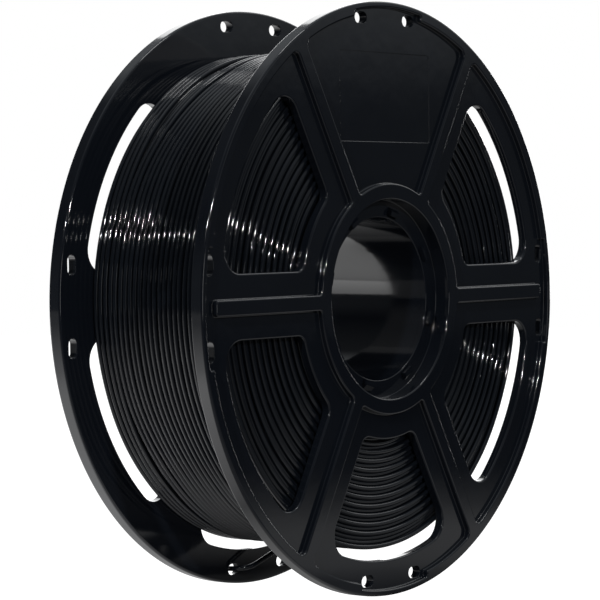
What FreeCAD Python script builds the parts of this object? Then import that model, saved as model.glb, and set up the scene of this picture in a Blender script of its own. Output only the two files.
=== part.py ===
import FreeCAD, Part
import math
import os

# Filament spool for 3-D printing, wound full with 1.75 mm filament. All sizes are in millimetres.
# The spool's axis lies along Y through the origin, Z is up, and the spool stands on its two rims.
# The front flange faces -Y and the rear flange, the same moulding turned round, faces +Y.

# Driving dimensions of the whole spool
OVERALL_WIDTH = 64.4
FLANGE_RADIUS = 100.0
FLANGE_THICKNESS = 5.0
HALF_WIDTH = OVERALL_WIDTH / 2
GROOVE_HALF = HALF_WIDTH - FLANGE_THICKNESS

# Flange face: six spokes raised above pockets, and windows through the pocket floors
POCKET_DEPTH = 1.9
POCKET_OUTER_RADIUS = 96.0
HUB_RING_RADIUS = 39.0
SPOKE_HALF_WIDTH = 2.6
SHORT_SPOKE_END = 93.0
NOTCH_RADIUS = 97.9
NOTCH_HALF_ANGLE = 11.2
POCKET_CORNER_RADIUS = 1.4
POCKET_RIM_CORNER_RADIUS = 2.6
NOTCH_CORNER_RADIUS = 0.7
WINDOW_INNER_RADIUS = 47.5
WINDOW_OUTER_RADIUS = 88.2
WINDOW_SPOKE_OFFSET = 10.6
WINDOW_OUTER_CORNER = 7.5
WINDOW_INNER_CORNER = 4.0
SPOKE_ANGLES = [0, 60, 120, 180, 240, 300]
SHORT_SPOKE_ANGLES = [0, 180]
WINDOW_ANGLES = [30, 150, 210, 270, 330]

# Rounded edges that catch the light
RIM_EDGE_RADIUS = 0.9
WINDOW_EDGE_RADIUS = 0.7
RAISED_EDGE_RADIUS = 0.5
POCKET_FLOOR_RADIUS = 0.3

# Shallow recess for a label in the closed sector at the top
LABEL_WIDTH = 51.0
LABEL_HEIGHT = 30.0
LABEL_CENTRE_HEIGHT = 67.9
LABEL_DEPTH = 0.2

# Pairs of oblong holes near the rim, where the filament's end is threaded
THREAD_HOLE_LENGTH = 6.6
THREAD_HOLE_WIDTH = 3.8
THREAD_HOLE_OFFSET = 13.5
THREAD_HOLE_HEIGHT = 94.1
THREAD_HOLE_ANGLES = [0, 90, 180, 270]

# Hub: counterbore, shoulder and the through bore for the holder's axle
BORE_RADIUS = 27.6
COUNTERBORE_RADIUS = 33.7
COUNTERBORE_DEPTH = 5.6
COUNTERBORE_EDGE_RADIUS = 0.6
SHOULDER_THICKNESS = 2.0
SPIGOT_RADIUS = 36.0
SHOULDER_FACE = HALF_WIDTH - COUNTERBORE_DEPTH
SHOULDER_BACK = SHOULDER_FACE - SHOULDER_THICKNESS

# Snap hooks that hold the flanges on the barrel
HOOK_COUNT = 8
HOOK_FIRST_ANGLE = 30.0
HOOK_WIDTH = 4.4
HOOK_STEM_INNER = 28.6
HOOK_STEM_OUTER = 29.8
HOOK_BARB_RADIUS = 31.4
HOOK_BARB_HEIGHT = 1.6
HOOK_BARB_GAP = 0.05
HOOK_SLOT_INNER = 28.3
HOOK_SLOT_OUTER = 30.2
HOOK_SLOT_WIDTH = 5.0

# Barrel: an outer tube that carries the filament, an inner tube, and ribs between them
BARREL_RADIUS = 39.0
BARREL_WALL = 2.8
BARREL_BORE_WALL = 2.2
BARREL_END_GAP = 0.05
BARREL_RIB_THICKNESS = 2.0

# Winding: full layers across the groove
FILAMENT_DIAMETER = 1.75
WINDING_INNER_RADIUS = 39.1
WINDING_RADIUS = 84.7
WINDING_HALF_WIDTH = GROOVE_HALF - 0.2

# The filament's end, from the winding's underside through a hole in the rear flange
TAIL_START_RADIUS = WINDING_RADIUS - FILAMENT_DIAMETER / 2
TAIL_START_Y = 17.0
TAIL_BEND_Y = 22.0
TAIL_END_Y = HALF_WIDTH - 0.4
TAIL_BEND_RADIUS = 4.5

AXIS = FreeCAD.Vector(0, 1, 0)


def cylinder(radius, start, end):
    """A solid cylinder on the spool's axis between two places along Y."""
    return Part.makeCylinder(radius, end - start, FreeCAD.Vector(0, start, 0), AXIS)


def ring(outer, inner, start, end):
    """A tube on the spool's axis."""
    return cylinder(outer, start, end).cut(cylinder(inner, start - 1, end + 1))


def turned(shape, angle):
    """A copy of the shape turned about the spool's axis, counter-clockwise seen from the front."""
    copy = shape.copy()
    copy.rotate(FreeCAD.Vector(0, 0, 0), AXIS, -angle)
    return copy


def turned_round(shape):
    """A copy of a front piece turned half round about Z, so that it serves at the rear end."""
    copy = shape.copy()
    copy.rotate(FreeCAD.Vector(0, 0, 0), FreeCAD.Vector(0, 0, 1), 180)
    return copy


def in_face(radius, angle, y):
    """A point given by its radius and angle about the spool's axis."""
    a = math.radians(angle)
    return FreeCAD.Vector(radius * math.cos(a), y, radius * math.sin(a))


def edges_along_axis(shape):
    """Straight edges that run parallel to the spool's axis."""
    found = []
    for edge in shape.Edges:
        if edge.Curve.TypeId != "Part::GeomLine":
            continue
        if abs(edge.Curve.Direction.y) > 0.999:
            found.append(edge)
    return found


def edges_in_plane(shape, y):
    """Edges that lie wholly in the plane at this place along Y."""
    found = []
    for edge in shape.Edges:
        box = edge.BoundBox
        if abs(box.YMin - y) < 0.001 and abs(box.YMax - y) < 0.001:
            found.append(edge)
    return found


def wedge(half_angle, reach, start, end):
    """A triangular prism that opens from the axis along +X, half_angle to each side."""
    points = [
        in_face(0, 0, start),
        in_face(reach, -half_angle, start),
        in_face(reach, half_angle, start),
        in_face(0, 0, start),
    ]
    return Part.Face(Part.makePolygon(points)).extrude(AXIS * (end - start))


def spoke(angle, length, start, end):
    """A straight bar from the axis outwards."""
    bar = Part.makeBox(length, end - start, 2 * SPOKE_HALF_WIDTH)
    bar.translate(FreeCAD.Vector(0, start, -SPOKE_HALF_WIDTH))
    return turned(bar, angle)


def pocket_corner_radius(edge):
    """How much a pocket's upright corner is rounded: at a notch, at the rim or elsewhere."""
    middle = edge.CenterOfMass
    if math.hypot(middle.x, middle.z) < SHORT_SPOKE_END + 1:
        return POCKET_CORNER_RADIUS
    from_hole = math.degrees(math.atan2(middle.z, middle.x)) % 90
    if min(from_hole, 90 - from_hole) < NOTCH_HALF_ANGLE + 1:
        return NOTCH_CORNER_RADIUS
    return POCKET_RIM_CORNER_RADIUS


def pocket_tool():
    """The recesses in a flange's outer face: everything inside the rim but the hub ring and the spokes."""
    start = -HALF_WIDTH - 2
    floor = -HALF_WIDTH + POCKET_DEPTH
    tool = ring(POCKET_OUTER_RADIUS, HUB_RING_RADIUS, start, floor)
    notch_ring = ring(NOTCH_RADIUS, POCKET_OUTER_RADIUS - 1, start, floor)
    notch = notch_ring.common(wedge(NOTCH_HALF_ANGLE, 2 * FLANGE_RADIUS, start, floor))
    for angle in THREAD_HOLE_ANGLES:
        tool = tool.fuse(turned(notch, angle))
    for angle in SPOKE_ANGLES:
        length = SHORT_SPOKE_END if angle in SHORT_SPOKE_ANGLES else FLANGE_RADIUS
        tool = tool.cut(spoke(angle, length, start, floor))
    tool = tool.removeSplitter()
    pockets = []
    for pocket in tool.Solids:
        for radius in (POCKET_CORNER_RADIUS, POCKET_RIM_CORNER_RADIUS, NOTCH_CORNER_RADIUS):
            corners = [e for e in edges_along_axis(pocket) if pocket_corner_radius(e) == radius]
            pocket = pocket.makeFillet(radius, corners)
        pockets.append(pocket.makeFillet(POCKET_FLOOR_RADIUS, edges_in_plane(pocket, floor)))
    return Part.makeCompound(pockets)


def window_tool():
    """One window's opening about the +X direction, with its four corners rounded."""
    start = -HALF_WIDTH - 1
    end = -GROOVE_HALF + 1
    apex = WINDOW_SPOKE_OFFSET / math.sin(math.radians(30))
    sides = wedge(30, 2 * FLANGE_RADIUS, start, end)
    sides.translate(FreeCAD.Vector(apex, 0, 0))
    opening = ring(WINDOW_OUTER_RADIUS, WINDOW_INNER_RADIUS, start, end).common(sides)
    middle = (WINDOW_INNER_RADIUS + WINDOW_OUTER_RADIUS) / 2
    edges = edges_along_axis(opening)
    outer = [e for e in edges if math.hypot(e.CenterOfMass.x, e.CenterOfMass.z) > middle]
    opening = opening.makeFillet(WINDOW_OUTER_CORNER, outer)
    edges = edges_along_axis(opening)
    inner = [e for e in edges if math.hypot(e.CenterOfMass.x, e.CenterOfMass.z) < WINDOW_INNER_RADIUS + 1]
    return opening.makeFillet(WINDOW_INNER_CORNER, inner)


def thread_hole_tool():
    """One pair of oblong holes, across the +Z direction."""
    half = THREAD_HOLE_WIDTH / 2
    reach = THREAD_HOLE_LENGTH / 2 - half
    start = -HALF_WIDTH - 1
    depth = FLANGE_THICKNESS + 2
    holes = []
    for side in (-1, 1):
        middle = FreeCAD.Vector(side * THREAD_HOLE_OFFSET, start, THREAD_HOLE_HEIGHT)
        slot = Part.makeBox(2 * reach, depth, 2 * half, middle - FreeCAD.Vector(reach, 0, half))
        for end in (-reach, reach):
            slot = slot.fuse(Part.makeCylinder(half, depth, middle + FreeCAD.Vector(end, 0, 0), AXIS))
        holes.append(slot.removeSplitter())
    return holes[0].fuse(holes[1])


def hook_slots(start, end):
    """The slots in the shoulder that the snap hooks come through."""
    slots = []
    for index in range(HOOK_COUNT):
        slot = Part.makeBox(HOOK_SLOT_OUTER - HOOK_SLOT_INNER, end - start, HOOK_SLOT_WIDTH)
        slot.translate(FreeCAD.Vector(HOOK_SLOT_INNER, start, -HOOK_SLOT_WIDTH / 2))
        slots.append(turned(slot, HOOK_FIRST_ANGLE + index * 360 / HOOK_COUNT))
    return Part.makeCompound(slots)


def flange_blank():
    """A flange before its face is recessed: the disc, and the hub's cup with its shoulder."""
    disc = cylinder(FLANGE_RADIUS, -HALF_WIDTH, -GROOVE_HALF)
    rim = [e for e in disc.Edges if e.Curve.TypeId == "Part::GeomCircle"]
    disc = disc.makeFillet(RIM_EDGE_RADIUS, rim)
    cup = cylinder(SPIGOT_RADIUS, -GROOVE_HALF - 1, -SHOULDER_BACK)
    blank = disc.fuse(cup)
    blank = blank.cut(cylinder(COUNTERBORE_RADIUS, -HALF_WIDTH - 1, -SHOULDER_FACE))
    blank = blank.cut(cylinder(BORE_RADIUS, -HALF_WIDTH - 1, -SHOULDER_BACK + 1))
    return blank.removeSplitter()


def label_recess():
    """The shallow rectangle in the floor of the closed top sector."""
    floor = -HALF_WIDTH + POCKET_DEPTH
    low = FreeCAD.Vector(-LABEL_WIDTH / 2, floor - 0.5, LABEL_CENTRE_HEIGHT - LABEL_HEIGHT / 2)
    return Part.makeBox(LABEL_WIDTH, LABEL_DEPTH + 0.5, LABEL_HEIGHT, low)


def raised_edges(flange):
    """The edges of the hub ring, the spokes and the rim's inner border in the outer face."""
    edges = []
    for edge in edges_in_plane(flange, -HALF_WIDTH):
        points = [vertex.Point for vertex in edge.Vertexes]
        radii = [math.hypot(point.x, point.z) for point in points]
        on_counterbore = max(radii) < COUNTERBORE_RADIUS + 0.1
        on_rim = min(radii) > FLANGE_RADIUS - RIM_EDGE_RADIUS - 0.1
        if not on_counterbore and not on_rim:
            edges.append(edge)
    return edges


def counterbore_edge(flange):
    """The mouth of the counterbore in the outer face."""
    edges = edges_in_plane(flange, -HALF_WIDTH)
    return [e for e in edges if abs(e.BoundBox.XMax - COUNTERBORE_RADIUS) < 0.01]


def front_flange():
    """The moulded flange that faces -Y."""
    flange = flange_blank().cut(pocket_tool())
    flange = flange.makeFillet(RAISED_EDGE_RADIUS, raised_edges(flange))
    flange = flange.makeFillet(COUNTERBORE_EDGE_RADIUS, counterbore_edge(flange))
    window = window_tool()
    floor = -HALF_WIDTH + POCKET_DEPTH
    windows = Part.makeCompound([turned(window, angle) for angle in WINDOW_ANGLES])
    flange = flange.cut(windows)
    mouths = []
    for edge in edges_in_plane(flange, floor):
        middle = edge.BoundBox.Center
        reach = max(math.hypot(v.Point.x, v.Point.z) for v in edge.Vertexes)
        inside = WINDOW_INNER_RADIUS - 0.5 < reach < WINDOW_OUTER_RADIUS + 0.5
        if inside and math.hypot(middle.x, middle.z) > WINDOW_INNER_RADIUS - 6:
            mouths.append(edge)
    flange = flange.makeFillet(WINDOW_EDGE_RADIUS, mouths)
    flange = flange.cut(label_recess())
    holes = thread_hole_tool()
    for angle in THREAD_HOLE_ANGLES:
        flange = flange.cut(turned(holes, angle))
    return flange.cut(hook_slots(-SHOULDER_FACE - 1, -SHOULDER_BACK + 1))


def snap_hook():
    """One hook at the front end of the barrel's inner tube, in the +X direction."""
    root = SHOULDER_BACK - 2
    catch = SHOULDER_FACE + HOOK_BARB_GAP
    tip = catch + HOOK_BARB_HEIGHT
    outline = [
        (HOOK_STEM_INNER, root),
        (HOOK_STEM_OUTER, root),
        (HOOK_STEM_OUTER, catch),
        (HOOK_BARB_RADIUS, catch),
        (HOOK_BARB_RADIUS, catch + 0.5),
        (HOOK_STEM_OUTER + 0.3, tip),
        (HOOK_STEM_INNER, tip),
        (HOOK_STEM_INNER, root),
    ]
    points = [FreeCAD.Vector(radius, -y, -HOOK_WIDTH / 2) for radius, y in outline]
    return Part.Face(Part.makePolygon(points)).extrude(FreeCAD.Vector(0, 0, HOOK_WIDTH))


def hub_barrel():
    """The barrel between the flanges, with its bore tube, ribs and snap hooks."""
    tube_end = SHOULDER_BACK - BARREL_END_GAP
    outer_inside = BARREL_RADIUS - BARREL_WALL
    bore_outside = BORE_RADIUS + BARREL_BORE_WALL
    barrel = ring(BARREL_RADIUS, outer_inside, -GROOVE_HALF, GROOVE_HALF)
    barrel = barrel.fuse(ring(bore_outside, BORE_RADIUS, -tube_end, tube_end))
    rib = Part.makeBox(
        outer_inside - bore_outside + 1, 2 * tube_end - 1, BARREL_RIB_THICKNESS,
        FreeCAD.Vector(bore_outside - 0.5, -tube_end + 0.5, -BARREL_RIB_THICKNESS / 2))
    for index in range(HOOK_COUNT):
        angle = index * 360 / HOOK_COUNT
        front_hook = turned(snap_hook(), HOOK_FIRST_ANGLE + angle)
        for piece in (turned(rib, angle), front_hook, turned_round(front_hook)):
            barrel = barrel.fuse(piece)
    return barrel.removeSplitter()


def filament_winding():
    """The wound filament as one ring that fills the groove from flange to flange."""
    return ring(WINDING_RADIUS, WINDING_INNER_RADIUS, -WINDING_HALF_WIDTH, WINDING_HALF_WIDTH)


def tail_route():
    """The tail's corner points: it leaves the winding on a tangent and ends in the rear flange's hole."""
    hole = FreeCAD.Vector(-THREAD_HOLE_OFFSET, 0, -THREAD_HOLE_HEIGHT)
    distance = math.hypot(hole.x, hole.z)
    hole_angle = math.degrees(math.atan2(hole.z, hole.x))
    touch_angle = hole_angle + math.degrees(math.acos(TAIL_START_RADIUS / distance))
    start = in_face(TAIL_START_RADIUS, touch_angle, TAIL_START_Y)
    bend = FreeCAD.Vector(hole.x, TAIL_BEND_Y, hole.z)
    end = FreeCAD.Vector(hole.x, TAIL_END_Y, hole.z)
    return [start, bend, end]


def filament_tail():
    """A round strand along two straight runs joined by one tangent arc."""
    start, bend, end = tail_route()
    back = (start - bend).normalize()
    onward = (end - bend).normalize()
    half_turn = (math.pi - back.getAngle(onward)) / 2
    reach = TAIL_BEND_RADIUS * math.tan(half_turn)
    arc_start = bend + back * reach
    arc_end = bend + onward * reach
    towards_centre = (back + onward).normalize()
    to_centre = TAIL_BEND_RADIUS / math.cos(half_turn)
    arc_middle = bend + towards_centre * (to_centre - TAIL_BEND_RADIUS)
    path = Part.Wire([
        Part.LineSegment(start, arc_start).toShape(),
        Part.Arc(arc_start, arc_middle, arc_end).toShape(),
        Part.LineSegment(arc_end, end).toShape(),
    ])
    section = Part.Wire(Part.makeCircle(FILAMENT_DIAMETER / 2, start, back * -1))
    tube = path.makePipeShell([section], True, False)
    expected = math.pi * FILAMENT_DIAMETER ** 2 / 4 * path.Length
    print("filament_tail length", round(path.Length, 2), "volume ratio", round(tube.Volume / expected, 4))
    return tube


def write(name, shape):
    """Check one sub-part and write its STEP file."""
    solids = shape.Solids
    assert shape.isValid() and solids, name
    print(name, "solids", len(solids), "volume cm3", round(shape.Volume / 1000, 2))
    part = solids[0] if len(solids) == 1 else Part.makeCompound(solids)
    part.exportStep("parts/" + name + ".step")


os.makedirs("parts", exist_ok=True)
flange = front_flange()
write("front_flange", flange)
write("rear_flange", turned_round(flange))
write("hub_barrel", hub_barrel())
write("filament_winding", filament_winding())
write("filament_tail", filament_tail())
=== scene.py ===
"""A filament spool: two windowed flanges on a hub, wound with glossy black filament."""
import math
import random

import bpy
import numpy as np
from mathutils import Matrix, Vector
from mathutils.geometry import tessellate_polygon


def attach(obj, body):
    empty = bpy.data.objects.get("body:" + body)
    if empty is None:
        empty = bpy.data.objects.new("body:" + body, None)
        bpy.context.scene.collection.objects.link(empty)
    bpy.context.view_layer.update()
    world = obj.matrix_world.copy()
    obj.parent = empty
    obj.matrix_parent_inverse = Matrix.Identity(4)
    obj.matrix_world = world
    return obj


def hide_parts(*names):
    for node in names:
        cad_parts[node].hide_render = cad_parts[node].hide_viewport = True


# Lengths are in metres. The spool's axis is Y, its front face is towards -Y and Z is up.

# Camera. It faces the middle of the spool.
CAMERA_AZIMUTH = math.radians(-52.66)
CAMERA_ELEVATION = math.radians(1.82)
CAMERA_ROLL = math.radians(-0.744)
CAMERA_DISTANCE = 0.8911
CAMERA_LENS = 155.16
CAMERA_SHIFT = (-0.0276, -0.0031)

# Flange
FACE_Y = -0.0322
INNER_FACE_Y = -0.0272
FLANGE_RADIUS = 0.1
POCKET_DEPTH = 0.0019
POCKET_OUTER_RADIUS = 0.096
HUB_RING_RADIUS = 0.039
SPOKE_HALF_WIDTH = 0.0026
SHORT_SPOKE_END = 0.093
NOTCH_RADIUS = 0.0979
NOTCH_HALF_ANGLE = 11.2
POCKET_CORNER_RADIUS = 0.0014
POCKET_RIM_CORNER_RADIUS = 0.0026
NOTCH_CORNER_RADIUS = 0.0007
WINDOW_INNER_RADIUS = 0.0475
WINDOW_OUTER_RADIUS = 0.0882
WINDOW_SPOKE_OFFSET = 0.0106
WINDOW_OUTER_CORNER = 0.0075
WINDOW_INNER_CORNER = 0.004
WINDOW_ANGLES = [30, 150, 210, 270, 330]
LABEL_WIDTH = 0.051
LABEL_HEIGHT = 0.030
LABEL_CENTRE_HEIGHT = 0.0679
LABEL_DEPTH = 0.0002
LABEL_CORNER_RADIUS = 0.0008
THREAD_HOLE_LENGTH = 0.0066
THREAD_HOLE_WIDTH = 0.0038
THREAD_HOLE_OFFSET = 0.0135
THREAD_HOLE_HEIGHT = 0.0941
THREAD_HOLE_ANGLES = [0, 90, 180, 270]
# Just under half the hole's width, so that neighbouring corners don't meet
THREAD_HOLE_CORNER_RADIUS = 0.001899
RIM_EDGE_RADIUS = 0.0009
WINDOW_EDGE_RADIUS = 0.0007
RAISED_EDGE_RADIUS = 0.0006
POCKET_FLOOR_RADIUS = 0.0003
SMALL_EDGE_RADIUS = 0.00015

# How finely the flanges are made: points of a circle, degrees from point to point along an edge's
# arc and round a corner, and steps across a rounded edge
CIRCLE_POINTS = 360
ARC_STEP = 1.5
CORNER_STEP = 11
ROUND_STEPS = 6

# Points that are the same to this many decimals of a metre become one
MERGE_DECIMALS = 6

# Hub end
BORE_RADIUS = 0.0276
COUNTERBORE_RADIUS = 0.0337
COUNTERBORE_EDGE_RADIUS = 0.0006
SHOULDER_FACE_Y = -0.0266
SHOULDER_BACK_Y = -0.0246
SPIGOT_RADIUS = 0.036
HOOK_COUNT = 8
HOOK_FIRST_ANGLE = 30
HOOK_SLOT_INNER = 0.0283
HOOK_SLOT_OUTER = 0.0302
HOOK_SLOT_WIDTH = 0.005
HOOK_SLOT_CORNER_RADIUS = 0.0002

# Filament
FILAMENT_DIAMETER = 0.00175
STRAND_RADIUS = FILAMENT_DIAMETER / 2
LAYER_STEP = FILAMENT_DIAMETER * math.sin(math.radians(60))
LAYERS = 30
TOP_LAYER_RADIUS = 0.083825
FIRST_LAYER_RADIUS = TOP_LAYER_RADIUS - (LAYERS - 1) * LAYER_STEP
END_TURN_Y = 0.027 - STRAND_RADIUS

# The ribs of the surface under the top layers: their height, and how far their foot is sunk, both
# as a share of the strand's radius
RIB_HEIGHT = 0.6
RIB_SUNK = 0.4

# How far the strands stray from where they should lie
TOP_RIPPLE = 0.00006
TOP_BULGE = 0.00002
SECOND_WANDER = 0.00012
SECOND_BULGE = 0.00008
END_BULGE = 0.00008
END_LEAN = 0.00022

# The waves that add up to such a stray: how many, and how many of each go round in a turn
WANDER_WAVES = 5
WANDER_SLOWEST = 0.4
WANDER_FASTEST = 5
RIPPLE_RATES = (1, 2, 5, 11)

# How finely the strands are made: points for each turn, steps across a rib and sides of a strand
TOP_TURN_POINTS = 360
SECOND_TURN_POINTS = 240
END_TURN_POINTS = 192
UNDER_TURN_POINTS = 128
RIB_STEPS = 6
STRAND_SIDES = 10
END_STRAND_SIDES = 8

# The length of a strand's uv map for each metre of strand
UV_PER_METRE = 100

# The top layer: its turns lie evenly at the left. Over the top, those ahead of the rearmost four
# are squeezed together towards the front, and the last two of them lie a turn apart from the rest.
# The squeeze is given at angles from +X, in degrees, and blurred over that many degrees each way.
TOP_TURNS = 26
REAR_TURNS = 4
APART_TURNS = 2
SQUEEZED_PITCH = 0.00179
SQUEEZE_ANGLES = [0, 30, 115, 150, 200, 220, 255, 300, 360]
SQUEEZE = [0.6, 1, 1, 0, 0, 0.35, 0.35, 0.2, 0.6]
SQUEEZE_BLUR = 6

# Free end
TAIL_START = (0.02864, 0.017, -0.07878)
TAIL_BEND = (-0.0135, 0.022, -0.0941)
TAIL_END = (-0.0135, 0.0313, -0.0941)
TAIL_BEND_REACH = 6 * FILAMENT_DIAMETER

# Materials
PLASTIC_IOR = 1.53
PLASTIC_SHADES = ((0.0040, 0.0052, 0.0078), (0.0066, 0.0084, 0.0122))
FILAMENT_IOR = 1.47
FILAMENT_SHADES = ((0.0038, 0.0050, 0.0074), (0.0068, 0.0086, 0.0120))

# Floor
FLOOR_Z = -0.1
FLOOR_RADIUS = 2.0
FLOOR_WHITE = 1.2

# Studio lights: name, bearing and elevation in degrees, distance, width and height, radiance
LIGHTS = [
    ("lamp_front", -112, 22, 2.5, (0.11, 0.07), 800),
    ("lamp_left", -166, 26, 2.5, (0.11, 0.07), 800),
    ("backdrop", 42, 20, 1.3, (1.4, 0.9), 2.6),
    ("edge_right", 12, 4, 1.5, (1.0, 0.32), 5.0),
    ("side_low", -110, 3, 1.5, (0.45, 0.35), 1.8),
    ("right_high", 22, 52, 1.5, (0.6, 0.4), 3.0),
    ("right_soft", 0, 30, 1.5, (1.2, 0.7), 1.3),
    ("overhead", -60, 62, 1.6, (0.35, 0.25), 8.0),
    ("behind_bore", 138, -11.5, 0.22, (0.05, 0.06), 1.5),
]

# The room behind the lights is dim. ROOM_LOW is its strength low down and ROOM_HIGH its strength
# straight up. On two sides only a share of that is left: ROOM_SHADED and ROOM_BEHIND.
ROOM_COLOUR = (0.95, 1, 1.04, 1)
ROOM_LOW = 0.08
ROOM_HIGH = 0.7
ROOM_SHADED = 0.2
ROOM_BEHIND = 0.15

# At the front right it has other strengths: nearly black low down, and dim above.
FRONT_LOW = 0.04
FRONT_HIGH = 0.35

# Directions from the spool: the front right, the front left, and high up behind it at the left
DARK_SIDE = (0.79, -0.61, 0)
SHADED_SIDE = (-0.71, -0.71, 0)
BEHIND_SIDE = (-0.42, 0.61, 0.67)

# Painted light on the table, which glows though it is no lamp: a pool of light round the spool, dimmed
# to a painted contact shadow at its foot. Each row is a distance from the spool's foot and a radiance;
# the radiance is capped at TABLE_PAINTED_LIGHT_TOP
TABLE_PAINTED_LIGHT = [
    (0.02, 0.08),
    (0.045, 0.5),
    (0.08, 1.1),
    (0.12, 1.7),
    (0.18, 1.8),
    (0.3, 1.2),
    (0.55, 0.6),
    (0.9, 0.3),
]
TABLE_PAINTED_LIGHT_TOP = 2

# The share of that painted light left at the front right, there close to the spool, and at the front
# left, where painted shade dims the table
TABLE_DARK = 0.03
TABLE_DARK_NEAR = 0.2
TABLE_SHADED = 0.12


def camera():
    """The camera, turned a little about its own axis."""
    azimuth, elevation, roll = CAMERA_AZIMUTH, CAMERA_ELEVATION, CAMERA_ROLL
    back = Vector((
        math.sin(azimuth) * math.cos(elevation),
        -math.cos(azimuth) * math.cos(elevation),
        math.sin(elevation),
    ))
    level_right = Vector((math.cos(azimuth), math.sin(azimuth), 0))
    level_up = back.cross(level_right)
    right = level_right * math.cos(roll) + level_up * math.sin(roll)
    up = level_up * math.cos(roll) - level_right * math.sin(roll)
    data = bpy.data.cameras.new("camera")
    data.lens = CAMERA_LENS
    data.sensor_width = 36
    data.shift_x, data.shift_y = CAMERA_SHIFT
    data.clip_start = 0.01
    data.clip_end = 20
    holder = bpy.data.objects.new("camera", data)
    turn = Matrix((right, up, back)).transposed().to_4x4()
    holder.matrix_world = Matrix.Translation(back * CAMERA_DISTANCE) @ turn
    bpy.context.scene.collection.objects.link(holder)
    bpy.context.scene.camera = holder


def noise(tree, vector, scale, detail=3, roughness=0.5):
    """A noise texture over the space that vector gives."""
    made = tree.nodes.new("ShaderNodeTexNoise")
    made.inputs["Scale"].default_value = scale
    made.inputs["Detail"].default_value = detail
    made.inputs["Roughness"].default_value = roughness
    tree.links.new(vector, made.inputs["Vector"])
    return made.outputs["Fac"]


def spread(tree, value, low, high, start=0.3, stop=0.7):
    """A value from start..stop mapped onto low..high."""
    made = tree.nodes.new("ShaderNodeMapRange")
    made.inputs["From Min"].default_value = start
    made.inputs["From Max"].default_value = stop
    made.inputs["To Min"].default_value = low
    made.inputs["To Max"].default_value = high
    tree.links.new(value, made.inputs["Value"])
    return made.outputs["Result"]


def away_from(tree, direction, side, least, start, stop):
    """1 for most directions, falling to the least value between two cosines from the given side."""
    unit = tree.nodes.new("ShaderNodeVectorMath")
    unit.operation = "NORMALIZE"
    tree.links.new(direction, unit.inputs[0])
    facing = tree.nodes.new("ShaderNodeVectorMath")
    facing.operation = "DOT_PRODUCT"
    facing.inputs[1].default_value = side
    tree.links.new(unit.outputs["Vector"], facing.inputs[0])
    return spread(tree, facing.outputs["Value"], 1, least, start, stop)


def combined(tree, operation, first, second):
    """Two values multiplied, or the larger of the two."""
    made = tree.nodes.new("ShaderNodeMath")
    made.operation = operation
    tree.links.new(first, made.inputs[0])
    tree.links.new(second, made.inputs[1])
    return made.outputs["Value"]


def blend_colours(tree, value, dark, light):
    """A colour between dark and light, by value."""
    made = tree.nodes.new("ShaderNodeMix")
    made.data_type = "RGBA"
    made.inputs["A"].default_value = (*dark, 1)
    made.inputs["B"].default_value = (*light, 1)
    tree.links.new(value, made.inputs["Factor"])
    return made.outputs["Result"]


def bump(tree, height, strength, distance, below=None):
    """A bump of that height, on top of another one if there is one."""
    made = tree.nodes.new("ShaderNodeBump")
    made.inputs["Strength"].default_value = strength
    made.inputs["Distance"].default_value = distance
    tree.links.new(height, made.inputs["Height"])
    if below is not None:
        tree.links.new(below, made.inputs["Normal"])
    return made.outputs["Normal"]


def new_material(name):
    """An empty principled material: (material, its tree, its shader)."""
    material = bpy.data.materials.new(name)
    material.use_nodes = True
    tree = material.node_tree
    return material, tree, tree.nodes["Principled BSDF"]


def moulded_plastic():
    """Glossy black injection-moulded plastic, with handling haze, fine grain and faint sink."""
    material, tree, shader = new_material("moulded_black_plastic")
    place = tree.nodes.new("ShaderNodeTexCoord").outputs["Object"]
    shader.inputs["IOR"].default_value = PLASTIC_IOR
    cloud = noise(tree, place, scale=28, detail=4)
    shade = blend_colours(tree, cloud, *PLASTIC_SHADES)
    tree.links.new(shade, shader.inputs["Base Color"])
    haze = noise(tree, place, scale=45, detail=5, roughness=0.6)
    tree.links.new(spread(tree, haze, low=0.05, high=0.10), shader.inputs["Roughness"])
    grain = bump(tree, noise(tree, place, scale=2600, detail=2), strength=0.02, distance=0.00005)
    sink = noise(tree, place, scale=120, detail=2)
    surface = bump(tree, sink, strength=0.06, distance=0.0004, below=grain)
    tree.links.new(surface, shader.inputs["Normal"])
    return material


def filament_plastic():
    """Glossy black extruded filament: streaks run along the strand, and its tone drifts."""
    material, tree, shader = new_material("black_filament")
    place = tree.nodes.new("ShaderNodeTexCoord")
    shader.inputs["IOR"].default_value = FILAMENT_IOR
    drift = noise(tree, place.outputs["Object"], scale=160)
    shade = blend_colours(tree, drift, *FILAMENT_SHADES)
    tree.links.new(shade, shader.inputs["Base Color"])
    haze = noise(tree, place.outputs["Object"], scale=420, detail=4)
    tree.links.new(spread(tree, haze, low=0.04, high=0.09), shader.inputs["Roughness"])
    stretch = tree.nodes.new("ShaderNodeMapping")
    stretch.inputs["Scale"].default_value = (14, 0.4, 1)
    tree.links.new(place.outputs["UV"], stretch.inputs["Vector"])
    streaks = noise(tree, stretch.outputs["Vector"], scale=3)
    tree.links.new(bump(tree, streaks, strength=0.08, distance=0.00004), shader.inputs["Normal"])
    return material


def line_edge(point, angle):
    """A straight edge through a point, running at an angle in degrees."""
    along = np.array([math.cos(math.radians(angle)), math.sin(math.radians(angle))])
    return {"kind": "line", "point": np.array(point, float), "along": along}


def arc_edge(radius, sense):
    """An arc about the spool's axis, counter-clockwise for sense 1 and clockwise for -1."""
    return {"kind": "arc", "radius": radius, "sense": sense}


def moved_left(edge, distance):
    """The edge moved sideways, to its left."""
    if edge["kind"] == "arc":
        return arc_edge(edge["radius"] - edge["sense"] * distance, edge["sense"])
    along = edge["along"]
    left = np.array([-along[1], along[0]])
    return {"kind": "line", "point": edge["point"] + left * distance, "along": along}


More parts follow.
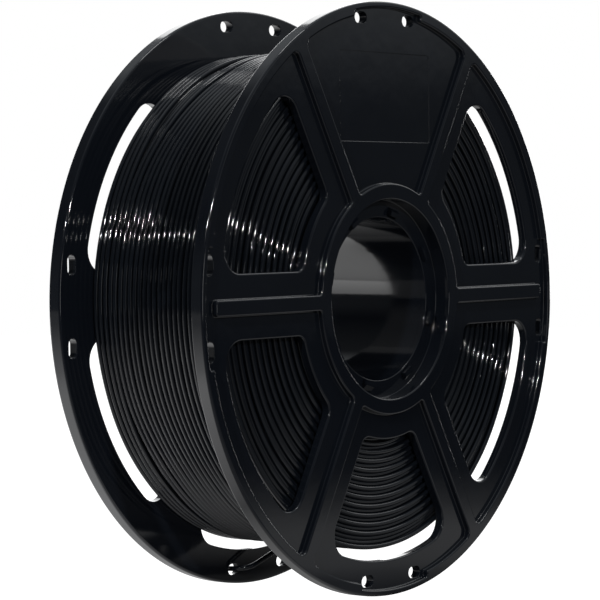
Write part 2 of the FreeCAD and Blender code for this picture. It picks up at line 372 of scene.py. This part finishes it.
def crossing(first, second, near):
    """Where two edges cross, at the place nearest to near."""
    if first["kind"] == "arc":
        first, second = second, first
    point, along = first["point"], first["along"]
    if second["kind"] == "line":
        other = second["along"]
        reach = np.cross(second["point"] - point, other) / np.cross(along, other)
        return point + along * reach
    middle = -point.dot(along)
    half = math.sqrt(second["radius"] ** 2 - (point.dot(point) - middle ** 2))
    places = [point + along * (middle - half), point + along * (middle + half)]
    return min(places, key=lambda place: np.linalg.norm(place - near))


def direction_at(edge, place):
    """The way the edge runs at a place on it."""
    if edge["kind"] == "line":
        return edge["along"]
    return np.array([-place[1], place[0]]) / np.linalg.norm(place) * edge["sense"]


def nearest_on(edge, place):
    """The point of the edge nearest to a place."""
    if edge["kind"] == "line":
        return edge["point"] + edge["along"] * (place - edge["point"]).dot(edge["along"])
    return place / np.linalg.norm(place) * edge["radius"]


def arc_points(centre, start, end, sense, step):
    """Points on an arc from start to end about a centre, no further apart than step in degrees."""
    first = math.atan2(*(start - centre)[::-1])
    last = math.atan2(*(end - centre)[::-1])
    sweep = (last - first) * sense % (2 * math.pi)
    count = max(2, math.ceil(math.degrees(sweep) / step) + 1)
    angles = first + sense * np.linspace(0, sweep, count)
    radius = np.linalg.norm(start - centre)
    return centre + radius * np.stack([np.cos(angles), np.sin(angles)], axis=-1)


def outline(edges, corners, radii):
    """A closed outline with rounded corners: its points, and the normals into its interior.

    The edges run with the interior on their left.
    corners[i] is roughly where edges[i] meets the next edge, and radii[i] rounds that corner.
    """
    rounds = []
    for index, edge in enumerate(edges):
        after = edges[(index + 1) % len(edges)]
        corner = crossing(edge, after, np.array(corners[index]))
        turn = 1 if np.cross(direction_at(edge, corner), direction_at(after, corner)) > 0 else -1
        shift = turn * radii[index]
        centre = crossing(moved_left(edge, shift), moved_left(after, shift), corner)
        rounds.append((centre, turn, nearest_on(edge, centre), nearest_on(after, centre)))
    points, normals = [], []
    origin = np.zeros(2)
    for index, edge in enumerate(edges):
        start = rounds[index - 1][3]
        centre, turn, end, onward = rounds[index]
        if edge["kind"] == "arc":
            run = arc_points(origin, start, end, edge["sense"], ARC_STEP)[1:-1]
            points.append(run)
            normals.append(-edge["sense"] * run / edge["radius"])
        corner_run = arc_points(centre, end, onward, turn, CORNER_STEP)
        points.append(corner_run)
        normals.append(turn * (centre - corner_run) / np.linalg.norm(centre - end))
    return np.concatenate(points), np.concatenate(normals)


def polar(radius, angle):
    """A point in the face from its radius and its angle in degrees."""
    return (radius * math.cos(math.radians(angle)), radius * math.sin(math.radians(angle)))


def spoke_side(angle, side, outwards):
    """One side of a spoke: side 1 is counter-clockwise of it. The edge runs outwards or inwards."""
    foot = polar(SPOKE_HALF_WIDTH, angle + 90 * side)
    return line_edge(foot, angle if outwards else angle + 180)


def rim_with_notch(middle, last):
    """The pocket's outer side up to last degrees, with the notch behind the thread holes."""
    before, after = middle - NOTCH_HALF_ANGLE, middle + NOTCH_HALF_ANGLE
    edges = [
        arc_edge(POCKET_OUTER_RADIUS, 1),
        line_edge((0, 0), before),
        arc_edge(NOTCH_RADIUS, 1),
        line_edge((0, 0), after + 180),
        arc_edge(POCKET_OUTER_RADIUS, 1),
    ]
    corners = [
        polar(POCKET_OUTER_RADIUS, before),
        polar(NOTCH_RADIUS, before),
        polar(NOTCH_RADIUS, after),
        polar(POCKET_OUTER_RADIUS, after),
        polar(POCKET_OUTER_RADIUS, last),
    ]
    small = NOTCH_CORNER_RADIUS
    return edges, corners, [small, small, small, small, POCKET_RIM_CORNER_RADIUS]


def narrow_pocket(middle):
    """The pocket between two long spokes."""
    first, last = middle - 30, middle + 30
    rim_edges, rim_corners, rim_radii = rim_with_notch(middle, last)
    edges = [
        spoke_side(first, 1, True), *rim_edges, spoke_side(last, -1, False),
        arc_edge(HUB_RING_RADIUS, -1),
    ]
    corners = [
        polar(POCKET_OUTER_RADIUS, first), *rim_corners, polar(HUB_RING_RADIUS, last),
        polar(HUB_RING_RADIUS, first),
    ]
    radii = [POCKET_RIM_CORNER_RADIUS, *rim_radii, POCKET_CORNER_RADIUS, POCKET_CORNER_RADIUS]
    return outline(edges, corners, radii)


def wide_pocket(middle):
    """The pocket that runs round the outer end of a short spoke."""
    first, last = middle - 60, middle + 60
    rim_edges, rim_corners, rim_radii = rim_with_notch(middle, last)
    end = polar(SHORT_SPOKE_END, middle)
    half = math.degrees(SPOKE_HALF_WIDTH / SHORT_SPOKE_END)
    edges = [
        spoke_side(first, 1, True), *rim_edges, spoke_side(last, -1, False),
        arc_edge(HUB_RING_RADIUS, -1), spoke_side(middle, 1, True), line_edge(end, middle - 90),
        spoke_side(middle, -1, False), arc_edge(HUB_RING_RADIUS, -1),
    ]
    corners = [
        polar(POCKET_OUTER_RADIUS, first), *rim_corners, polar(HUB_RING_RADIUS, last),
        polar(HUB_RING_RADIUS, middle), polar(SHORT_SPOKE_END, middle + half),
        polar(SHORT_SPOKE_END, middle - half), polar(HUB_RING_RADIUS, middle),
        polar(HUB_RING_RADIUS, first),
    ]
    small = POCKET_CORNER_RADIUS
    return outline(edges, corners, [POCKET_RIM_CORNER_RADIUS, *rim_radii, *[small] * 6])


def window(middle):
    """A window's outline: its sides run beside the two spokes."""
    first, last = middle - 30, middle + 30
    start = line_edge(polar(WINDOW_SPOKE_OFFSET, first + 90), first)
    finish = line_edge(polar(WINDOW_SPOKE_OFFSET, last - 90), last + 180)
    edges = [start, arc_edge(WINDOW_OUTER_RADIUS, 1), finish, arc_edge(WINDOW_INNER_RADIUS, -1)]
    corners = [
        polar(WINDOW_OUTER_RADIUS, first), polar(WINDOW_OUTER_RADIUS, last),
        polar(WINDOW_INNER_RADIUS, last), polar(WINDOW_INNER_RADIUS, first),
    ]
    radii = [WINDOW_OUTER_CORNER, WINDOW_OUTER_CORNER, WINDOW_INNER_CORNER, WINDOW_INNER_CORNER]
    return outline(edges, corners, radii)


def rectangle(centre, width, height, corner, angle=0):
    """A rounded rectangle, turned by an angle in degrees about the spool's axis."""
    x, z = centre
    signs = [(1, -1), (1, 1), (-1, 1), (-1, -1)]
    places = [(x + across * width / 2, z + up * height / 2) for across, up in signs]
    edges = [line_edge(place, way) for place, way in zip(places, (90, 180, 270, 0))]
    points, normals = outline(edges, [*places[1:], places[0]], [corner] * 4)
    turn = np.array(Matrix.Rotation(math.radians(angle), 2))
    return points @ turn.T, normals @ turn.T


def full_turn(count):
    """That many angles, spaced evenly round a full turn."""
    return np.linspace(0, 2 * np.pi, count + 1)[:-1]


def circle(radius, inwards=True):
    """A circle about the axis, with normals to its inside or its outside."""
    angles = full_turn(CIRCLE_POINTS)
    way = np.stack([np.cos(angles), np.sin(angles)], axis=-1)
    return way * radius, -way if inwards else way


def round_over(radius, near_y, towards, quarter):
    """The rows of Moulding.wall for a quarter-round edge, where a wall meets the flat at near_y.

    towards is 1 where the material lies on the flat's +Y side, and -1 on its -Y side. An "outer"
    quarter rounds the flat's own edge, and an "inner" one the corner at the foot of the wall.
    """
    rows = []
    for step in range(ROUND_STEPS + 1):
        turn = math.radians(90 * step / ROUND_STEPS)
        if quarter == "outer":
            rows.append((
                -radius + radius * math.sin(turn),
                near_y + towards * radius * (1 - math.cos(turn)),
                math.sin(turn),
                -towards * math.cos(turn),
            ))
        else:
            rows.append((
                radius * (1 - math.cos(turn)),
                near_y - towards * radius * (1 - math.sin(turn)),
                math.cos(turn),
                -towards * math.sin(turn),
            ))
    return rows


class Moulding:
    """Gathers faces with an exact normal at every corner, and makes one mesh of them."""

    def __init__(self):
        self.points = []
        self.normals = []
        self.faces = []

    def add(self, points, normals, faces):
        """Adds a patch: its points, the normal at each point, and its faces as rows of point numbers."""
        self.faces += [[self.count() + index for index in face] for face in faces]
        self.points += [tuple(point) for point in points]
        self.normals += [tuple(normal) for normal in normals]

    def count(self):
        """How many points there are."""
        return len(self.points)

    def wall(self, shape, rows):
        """A band that follows an outline, row by row.

        Each row is (distance along the outline's normals, y, normal along that distance, normal
        along y).
        """
        flat, way = shape
        around = len(flat)
        points, normals, faces = [], [], []
        for aside, y, out, along in rows:
            place = flat + way * aside
            points += [(x, y, z) for x, z in place]
            normals += [(x * out, along, z * out) for x, z in way]
        for row in range(len(rows) - 1):
            here, there = row * around, (row + 1) * around
            for index in range(around):
                beside = (index + 1) % around
                faces.append([here + index, here + beside, there + beside, there + index])
        self.add(points, normals, faces)

    def cap(self, loops, y, towards):
        """A flat area between an outer loop and the loops inside it."""
        corners = [[Vector((x, z, 0)) for x, z in loop] for loop in loops]
        flat = np.concatenate(loops)
        faces = tessellate_polygon(corners)
        points = [(x, y, z) for x, z in flat]
        self.add(points, [(0, towards, 0)] * len(flat), [list(face) for face in faces])

    def build(self, name, turned_round):
        """The mesh object. turned_round turns it half round about Z, for the rear end."""
        side = -1 if turned_round else 1
        points = np.array(self.points) * (side, side, 1)
        normals = np.array(self.normals) * (side, side, 1)
        rounded = np.round(points, MERGE_DECIMALS)
        _, first, same = np.unique(rounded, axis=0, return_index=True, return_inverse=True)
        faces, corner_normals = [], []
        for face in self.faces:
            a, b, c = points[face[0]], points[face[1]], points[face[2]]
            if np.cross(b - a, c - a).dot(normals[face].sum(0)) < 0:
                face = face[::-1]
            merged = [int(same[index]) for index in face]
            if len(set(merged)) == len(merged):
                faces.append(merged)
                corner_normals += [normals[index] for index in face]
        mesh = bpy.data.meshes.new(name)
        mesh.from_pydata([tuple(point) for point in points[first]], [], faces)
        mesh.shade_smooth()
        mesh.normals_split_custom_set(corner_normals)
        made = bpy.data.objects.new(name, mesh)
        bpy.context.scene.collection.objects.link(made)
        return made


def offset(shape, distance):
    """An outline's points, moved along its normals."""
    return shape[0] + shape[1] * distance


def thread_holes():
    """The oblong holes near the rim, in pairs."""
    holes = []
    for angle in THREAD_HOLE_ANGLES:
        for side in (-1, 1):
            centre = (side * THREAD_HOLE_OFFSET, THREAD_HOLE_HEIGHT)
            size = (THREAD_HOLE_LENGTH, THREAD_HOLE_WIDTH)
            holes.append(rectangle(centre, *size, THREAD_HOLE_CORNER_RADIUS, angle))
    return holes


def flange_face(moulding, floor_y):
    """The raised face, the walls of its pockets, the rim and the mouth of the counterbore."""
    pockets = [wide_pocket(0), narrow_pocket(90), wide_pocket(180), narrow_pocket(270)]
    top = round_over(RAISED_EDGE_RADIUS, FACE_Y, 1, "outer")
    foot = round_over(POCKET_FLOOR_RADIUS, floor_y, 1, "inner")
    for pocket in pockets:
        moulding.wall(pocket, top + foot)
    rim = circle(FLANGE_RADIUS, inwards=False)
    front_edge = round_over(RIM_EDGE_RADIUS, FACE_Y, 1, "outer")
    back_edge = round_over(RIM_EDGE_RADIUS, INNER_FACE_Y, -1, "outer")
    moulding.wall(rim, front_edge + back_edge[::-1])
    mouth = circle(COUNTERBORE_RADIUS)
    moulding.cap([
        offset(rim, -RIM_EDGE_RADIUS),
        offset(mouth, -COUNTERBORE_EDGE_RADIUS),
        *[offset(pocket, -RAISED_EDGE_RADIUS) for pocket in pockets],
    ], FACE_Y, -1)
    return pockets


def flange_floor(moulding, pockets, floor_y):
    """The pocket floors with the windows, the thread holes and the label recess, and the inner face."""
    windows = [window(angle) for angle in WINDOW_ANGLES]
    holes = thread_holes()
    label = rectangle((0, LABEL_CENTRE_HEIGHT), LABEL_WIDTH, LABEL_HEIGHT, LABEL_CORNER_RADIUS)
    far_edge = round_over(SMALL_EDGE_RADIUS, INNER_FACE_Y, -1, "outer")[::-1]
    for opening in windows:
        moulding.wall(opening, round_over(WINDOW_EDGE_RADIUS, floor_y, 1, "outer") + far_edge)
    for opening in holes:
        moulding.wall(opening, round_over(SMALL_EDGE_RADIUS, floor_y, 1, "outer") + far_edge)
    step = LABEL_DEPTH / 2
    label_y = floor_y + LABEL_DEPTH
    down_to_label = round_over(step, floor_y, 1, "outer") + round_over(step, label_y, 1, "inner")
    moulding.wall(label, down_to_label)
    moulding.cap([offset(label, step)], label_y, -1)
    openings = [(shape, WINDOW_EDGE_RADIUS) for shape in windows]
    openings += [(shape, SMALL_EDGE_RADIUS) for shape in holes]
    openings.append((label, step))
    for pocket in pockets:
        inside = [offset(shape, -edge) for shape, edge in openings if lies_in(shape, pocket)]
        moulding.cap([offset(pocket, POCKET_FLOOR_RADIUS), *inside], floor_y, -1)
    moulding.cap([
        offset(circle(FLANGE_RADIUS, inwards=False), -RIM_EDGE_RADIUS),
        circle(SPIGOT_RADIUS)[0],
        *[offset(shape, -SMALL_EDGE_RADIUS) for shape in [*windows, *holes]],
    ], INNER_FACE_Y, 1)


def lies_in(shape, pocket):
    """Whether a shape's middle is inside a pocket, by the winding of the pocket's outline round it."""
    way = pocket[0] - shape[0].mean(0)
    angles = np.unwrap(np.arctan2(way[:, 1], way[:, 0]))
    return abs(angles[-1] - angles[0]) > math.pi


def flange_hub(moulding):
    """The counterbore, the shoulder with its slots, the bore and the spigot."""
    counterbore = circle(COUNTERBORE_RADIUS)
    bore = circle(BORE_RADIUS)
    spigot = circle(SPIGOT_RADIUS, inwards=False)
    foot = 2 * SMALL_EDGE_RADIUS
    slots = []
    for index in range(HOOK_COUNT):
        centre = ((HOOK_SLOT_INNER + HOOK_SLOT_OUTER) / 2, 0)
        depth = HOOK_SLOT_OUTER - HOOK_SLOT_INNER
        angle = HOOK_FIRST_ANGLE + index * 360 / HOOK_COUNT
        slots.append(rectangle(centre, depth, HOOK_SLOT_WIDTH, HOOK_SLOT_CORNER_RADIUS, angle))
    mouth = round_over(COUNTERBORE_EDGE_RADIUS, FACE_Y, 1, "outer")
    moulding.wall(counterbore, mouth + round_over(foot, SHOULDER_FACE_Y, 1, "inner"))
    lip = round_over(foot, SHOULDER_FACE_Y, 1, "outer")
    moulding.wall(bore, lip + [(0, SHOULDER_BACK_Y, 1, 0)])
    moulding.wall(spigot, [(0, INNER_FACE_Y, 1, 0), (0, SHOULDER_BACK_Y, 1, 0)])
    for slot in slots:
        moulding.wall(slot, [(0, SHOULDER_FACE_Y, 1, 0), (0, SHOULDER_BACK_Y, 1, 0)])
    shapes = [slot[0] for slot in slots]
    moulding.cap([offset(counterbore, foot), offset(bore, -foot), *shapes], SHOULDER_FACE_Y, -1)
    moulding.cap([spigot[0], bore[0], *shapes], SHOULDER_BACK_Y, 1)


def flange(name, turned_round):
    """One moulded flange, with every edge rounded as its mould leaves it."""
    moulding = Moulding()
    floor_y = FACE_Y + POCKET_DEPTH
    pockets = flange_face(moulding, floor_y)
    flange_floor(moulding, pockets, floor_y)
    flange_hub(moulding)
    return moulding.build(name, turned_round)


def smooth_mesh(name, points, faces, uvs=None):
    """A smooth-shaded mesh object from arrays of points, quads and uvs per corner."""
    mesh = bpy.data.meshes.new(name)
    mesh.vertices.add(len(points))
    mesh.vertices.foreach_set("co", np.asarray(points, np.float32).ravel())
    mesh.loops.add(faces.size)
    mesh.loops.foreach_set("vertex_index", faces.astype(np.int32).ravel())
    mesh.polygons.add(len(faces))
    mesh.polygons.foreach_set("loop_start", np.arange(len(faces), dtype=np.int32) * 4)
    if uvs is not None:
        layer = mesh.uv_layers.new(name="strand")
        layer.data.foreach_set("uv", np.asarray(uvs, np.float32).ravel())
    mesh.update(calc_edges=True)
    mesh.polygons.foreach_set("use_smooth", np.ones(len(faces), bool))
    made = bpy.data.objects.new(name, mesh)
    bpy.context.scene.collection.objects.link(made)
    return made


def wound(angles, radii, heights):
    """Points about the Y axis: a ring of them at each angle."""
    turn = angles[:, None]
    places = np.broadcast_arrays(radii * np.cos(turn), heights, radii * np.sin(turn))
    return np.stack(places, axis=-1).reshape(-1, 3)


def band_faces(bands, rings, sides):
    """Quads between neighbouring rings of points. The first ring follows the last one."""
    here = np.arange(bands)[:, None] * sides
    there = (np.arange(bands)[:, None] + 1) % rings * sides
    side = np.arange(sides)[None, :]
    beside = (side + 1) % sides
    return np.stack([here + side, here + beside, there + beside, there + side], axis=-1).reshape(-1, 4)


def strand(angles, radii, heights, sides=STRAND_SIDES, closed=False):
    """Points, quads and uvs of a round strand wound about the Y axis."""
    rings = len(angles)
    bands = rings if closed else rings - 1
    around = full_turn(sides)[None, :]
    out = radii[:, None] + STRAND_RADIUS * np.cos(around)
    along = heights[:, None] + STRAND_RADIUS * np.sin(around)
    side = np.arange(sides)[None, :]
    travelled = np.arange(bands + 1) * abs(angles[1] - angles[0]) * TOP_LAYER_RADIUS * UV_PER_METRE
    u0, u1, v0, v1 = np.broadcast_arrays(
        side / sides, (side + 1) / sides, travelled[:-1, None], travelled[1:, None]
    )
    uvs = np.stack([u0, v0, u1, v0, u1, v1, u0, v1], axis=-1).reshape(-1, 2)
    return wound(angles, out, along), band_faces(bands, rings, sides), uvs


def strands_object(name, strands):
    """One mesh object from several strands."""
    points, faces, uvs, count = [], [], [], 0
    for strand_points, strand_faces, strand_uvs in strands:
        points.append(strand_points)
        faces.append(strand_faces + count)
        uvs.append(strand_uvs)
        count += len(strand_points)
    return smooth_mesh(name, np.concatenate(points), np.concatenate(faces), np.concatenate(uvs))


def wander(angles, rng, size):
    """A smooth random offset along a strand: the mean of some sine waves of random rates."""
    total = np.zeros(len(angles))
    for _ in range(WANDER_WAVES):
        rate = rng.uniform(WANDER_SLOWEST, WANDER_FASTEST)
        total += np.sin(angles * rate + rng.uniform(0, 2 * np.pi)) / WANDER_WAVES
    return total * size


def waves(angles, rng, size):
    """A smooth random ripple that closes on itself."""
    total = np.zeros(len(angles))
    for rate in RIPPLE_RATES:
        total += np.sin(angles * rate + rng.uniform(0, 2 * np.pi)) * size
    return total


def top_layer(rng):
    """The turns on the outside of the winding. They wander a little, and leave gaps over the top."""
    turns = []
    angles = full_turn(TOP_TURN_POINTS)
    squeeze = np.interp(np.degrees(angles), SQUEEZE_ANGLES, SQUEEZE)
    soft = 2 * SQUEEZE_BLUR + 1
    squeeze = np.convolve(np.pad(squeeze, SQUEEZE_BLUR, mode="wrap"), np.ones(soft) / soft, mode="valid")
    for index in range(TOP_TURNS):
        even = -END_TURN_Y + 2 * END_TURN_Y * index / (TOP_TURNS - 1)
        from_rear = TOP_TURNS - REAR_TURNS - index
        squeezed = even
        if from_rear > 0:
            turns_before = index + 1 if from_rear <= APART_TURNS else index
            squeezed = -END_TURN_Y + SQUEEZED_PITCH * turns_before
        heights = even + (squeezed - even) * squeeze + waves(angles, rng, TOP_RIPPLE)
        heights = np.clip(heights, -END_TURN_Y, END_TURN_Y)
        radii = TOP_LAYER_RADIUS + waves(angles, rng, TOP_BULGE)
        turns.append(strand(angles, radii, heights, closed=True))
    return strands_object("filament_top_layer", turns)


def second_layer(rng):
    """The layer that shows in the gaps: one helix from flange to flange."""
    turns = 2 * END_TURN_Y / FILAMENT_DIAMETER
    angles = np.linspace(0, turns * 2 * np.pi, int(turns * SECOND_TURN_POINTS))
    heights = -END_TURN_Y + angles / (2 * np.pi) * FILAMENT_DIAMETER
    heights = np.clip(heights + wander(angles, rng, SECOND_WANDER), -END_TURN_Y, END_TURN_Y)
    radii = TOP_LAYER_RADIUS - LAYER_STEP + wander(angles, rng, SECOND_BULGE)
    return strands_object("filament_second_layer", [strand(angles, radii, heights)])


def end_turns(name, side, rng):
    """The outermost turn of each layer on one side, with every other layer set in by half a strand."""
    turns = []
    angles = full_turn(END_TURN_POINTS)
    for layer in range(LAYERS - 2):
        inset = STRAND_RADIUS if layer % 2 else 0
        bulge = waves(angles, rng, rng.uniform(0, END_BULGE))
        radii = FIRST_LAYER_RADIUS + layer * LAYER_STEP + bulge
        lean = (1 + np.sin(angles + rng.uniform(0, 2 * np.pi))) * rng.uniform(0, END_LEAN)
        heights = side * (END_TURN_Y - inset - lean)
        turns.append(strand(angles, radii, heights, sides=END_STRAND_SIDES, closed=True))
    return strands_object(name, turns)


def under_layer():
    """The layer below the second one, as one ribbed surface closed at both sides."""
    ribs = int(2 * END_TURN_Y / FILAMENT_DIAMETER)
    pitch = FILAMENT_DIAMETER * (ribs - 2) / ribs
    start = -END_TURN_Y + FILAMENT_DIAMETER
    valley = TOP_LAYER_RADIUS - 2 * LAYER_STEP - STRAND_RADIUS * RIB_SUNK
    profile = [(FIRST_LAYER_RADIUS, start)]
    for index in range(ribs * RIB_STEPS + 1):
        turn = index / RIB_STEPS
        bulge = abs(math.sin(turn * math.pi)) * STRAND_RADIUS * RIB_HEIGHT
        profile.append((valley + bulge, start + turn * pitch))
    profile.append((FIRST_LAYER_RADIUS, profile[-1][1]))
    radii, heights = np.array(profile).T
    points = wound(full_turn(UNDER_TURN_POINTS), radii[None, :], heights[None, :])
    faces = band_faces(UNDER_TURN_POINTS, UNDER_TURN_POINTS, len(profile))
    turned_over = np.roll(faces[:, ::-1], 1, axis=1)
    return smooth_mesh("filament_under_layer", points, turned_over)


def tail():
    """The free end: from the winding into a hole in the rear flange's rim."""
    data = bpy.data.curves.new("filament_free_end", "CURVE")
    data.dimensions = "3D"
    # Blender widens a curve's bounding box by its points' radius, so that is the strand's own radius.
    data.bevel_depth = 1
    data.bevel_resolution = 4
    data.use_fill_caps = True
    start, bend, end = Vector(TAIL_START), Vector(TAIL_BEND), Vector(TAIL_END)
    near_bend = bend + (start - bend).normalized() * TAIL_BEND_REACH
    route = [start, near_bend, bend, end]
    line = data.splines.new("NURBS")
    line.points.add(len(route) - 1)
    for point, place in zip(line.points, route):
        point.co = (*place, 1)
        point.radius = STRAND_RADIUS
    line.order_u = 3
    line.use_endpoint_u = True
    line.resolution_u = 12
    made = bpy.data.objects.new("filament_free_end", data)
    bpy.context.scene.collection.objects.link(made)
    return made


def studio_light(name, bearing, elevation, distance, size, radiance):
    """A rectangular light that faces the spool, unseen by the camera.

    Its bearing is in degrees from +X, anticlockwise from above. Its power gives it that radiance.
    """
    bearing, elevation = math.radians(bearing), math.radians(elevation)
    direction = Vector((
        math.cos(bearing) * math.cos(elevation),
        math.sin(bearing) * math.cos(elevation),
        math.sin(elevation),
    ))
    data = bpy.data.lights.new(name, "AREA")
    data.shape = "RECTANGLE"
    data.size, data.size_y = size
    data.energy = radiance * math.pi * size[0] * size[1]
    made = bpy.data.objects.new(name, data)
    made.location = direction * distance
    made.rotation_mode = "QUATERNION"
    made.rotation_quaternion = direction.to_track_quat("Z", "Y")
    made.visible_camera = False
    bpy.context.scene.collection.objects.link(made)


def camera_sees(tree, for_camera, for_the_rest, output):
    """Links one shader for the camera's own rays, and another for all other rays."""
    seen = tree.nodes.new("ShaderNodeLightPath")
    mix = tree.nodes.new("ShaderNodeMixShader")
    tree.links.new(seen.outputs["Is Camera Ray"], mix.inputs["Fac"])
    tree.links.new(for_the_rest, mix.inputs[1])
    tree.links.new(for_camera, mix.inputs[2])
    tree.links.new(mix.outputs["Shader"], tree.nodes[output].inputs["Surface"])


def room_strength(tree):
    """How bright the room is in each direction."""
    direction = tree.nodes.new("ShaderNodeTexCoord").outputs["Generated"]
    apart = tree.nodes.new("ShaderNodeSeparateXYZ")
    tree.links.new(direction, apart.inputs["Vector"])
    height = apart.outputs["Z"]
    upwards = spread(tree, height, ROOM_LOW, ROOM_HIGH, start=0.4, stop=1)
    shaded = away_from(tree, direction, SHADED_SIDE, ROOM_SHADED, start=0.1, stop=0.7)
    behind = away_from(tree, direction, BEHIND_SIDE, ROOM_BEHIND, start=0.8, stop=0.93)
    elsewhere = combined(tree, "MULTIPLY", combined(tree, "MULTIPLY", upwards, shaded), behind)
    front = spread(tree, height, FRONT_LOW, FRONT_HIGH, start=0.045, stop=0.09)
    strength = tree.nodes.new("ShaderNodeMix")
    not_front = away_from(tree, direction, DARK_SIDE, 0, start=0.75, stop=0.97)
    tree.links.new(not_front, strength.inputs["Factor"])
    tree.links.new(front, strength.inputs["A"])
    tree.links.new(elsewhere, strength.inputs["B"])
    return strength.outputs["Result"]


def surroundings():
    """A white backdrop for the camera. Everything else meets a dim room."""
    world = bpy.data.worlds.new("studio")
    bpy.context.scene.world = world
    world.use_nodes = True
    tree = world.node_tree
    backdrop = tree.nodes["Background"]
    backdrop.inputs["Color"].default_value = (1, 1, 1, 1)
    backdrop.inputs["Strength"].default_value = 1
    room = tree.nodes.new("ShaderNodeBackground")
    room.inputs["Color"].default_value = ROOM_COLOUR
    tree.links.new(room_strength(tree), room.inputs["Strength"])
    camera_sees(tree, backdrop.outputs["Background"], room.outputs["Background"], "World Output")


def painted_light_by_distance(tree, distance):
    """The table's painted light at a distance from the spool, along a smooth curve."""
    made = tree.nodes.new("ShaderNodeFloatCurve")
    curve = made.mapping.curves[0]
    made.mapping.clip_max_y = TABLE_PAINTED_LIGHT_TOP
    made.mapping.extend = "HORIZONTAL"
    for point, (far, radiance) in zip(curve.points, (TABLE_PAINTED_LIGHT[0], TABLE_PAINTED_LIGHT[-1])):
        point.location = (far, radiance)
    for far, radiance in TABLE_PAINTED_LIGHT[1:-1]:
        curve.points.new(far, radiance)
    made.mapping.update()
    tree.links.new(distance, made.inputs["Value"])
    return made.outputs["Value"]


def painted_table_light(tree):
    """How much painted light the table gives off at each place, with painted shade at the front right
    and the front left.
    """
    place = tree.nodes.new("ShaderNodeTexCoord").outputs["Object"]
    length = tree.nodes.new("ShaderNodeVectorMath")
    length.operation = "LENGTH"
    tree.links.new(place, length.inputs[0])
    distance = length.outputs["Value"]
    # Painted shade on the table: its painted light is cut towards the front right and the front left,
    # less so close to the spool
    near = spread(tree, distance, TABLE_DARK_NEAR, 0, start=0.2, stop=0.5)
    right = away_from(tree, place, DARK_SIDE, TABLE_DARK, start=-0.2, stop=0.8)
    under = spread(tree, distance, 1, 0, start=0.05, stop=0.1)
    left = away_from(tree, place, SHADED_SIDE, TABLE_SHADED, start=0.4, stop=0.85)
    right_share = combined(tree, "MAXIMUM", near, right)
    left_share = combined(tree, "MAXIMUM", under, left)
    share = combined(tree, "MULTIPLY", right_share, left_share)
    return combined(tree, "MULTIPLY", painted_light_by_distance(tree, distance), share)


def table_material():
    """A pale table: evenly white to the camera, and to everything else a dim glow of painted light and
    shade.
    """
    material = bpy.data.materials.new("pale_table_painted_light")
    material.use_nodes = True
    tree = material.node_tree
    tree.nodes.remove(tree.nodes["Principled BSDF"])
    # Painted light and shade: the table glows as though lit, with its shadows painted in
    painted_glow = tree.nodes.new("ShaderNodeEmission")
    tree.links.new(painted_table_light(tree), painted_glow.inputs["Strength"])
    white = tree.nodes.new("ShaderNodeEmission")
    white.inputs["Strength"].default_value = FLOOR_WHITE
    camera_sees(tree, white.outputs["Emission"], painted_glow.outputs["Emission"], "Material Output")
    return material


def floor():
    """The round table that the spool stands on."""
    bpy.ops.mesh.primitive_circle_add(
        vertices=128, radius=FLOOR_RADIUS, fill_type="TRIFAN", location=(0, 0, FLOOR_Z)
    )
    made = bpy.context.object
    made.name = "floor"
    made.data.materials.append(table_material())


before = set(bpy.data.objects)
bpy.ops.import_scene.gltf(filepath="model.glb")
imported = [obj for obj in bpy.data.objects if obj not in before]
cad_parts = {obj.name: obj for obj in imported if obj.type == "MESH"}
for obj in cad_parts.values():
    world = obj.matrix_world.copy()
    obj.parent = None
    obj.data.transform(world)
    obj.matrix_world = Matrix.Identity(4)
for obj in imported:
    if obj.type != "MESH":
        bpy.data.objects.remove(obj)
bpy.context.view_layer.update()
bpy.context.scene.view_settings.view_transform = "Standard"

camera()
rng = random.Random(7)
filament = filament_plastic()
plastic = moulded_plastic()

free_end = tail()
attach(free_end, "root")
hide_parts("filament_tail")

winding = [
    top_layer(rng),
    second_layer(rng),
    end_turns("filament_front_turns", -1, rng),
    end_turns("filament_rear_turns", 1, rng),
    under_layer(),
]
for piece in winding:
    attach(piece, "root")
    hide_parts("filament_winding")
for piece in [*winding, free_end]:
    piece.data.materials.append(filament)

for name, turned_round in (("front_flange", False), ("rear_flange", True)):
    piece = flange(name + "_moulding", turned_round)
    piece.data.materials.append(plastic)
    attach(piece, "root")
    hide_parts(name)

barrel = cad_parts["hub_barrel"].data
for index in range(len(barrel.materials)):
    barrel.materials[index] = plastic

surroundings()
floor()
for light in LIGHTS:
    studio_light(*light)
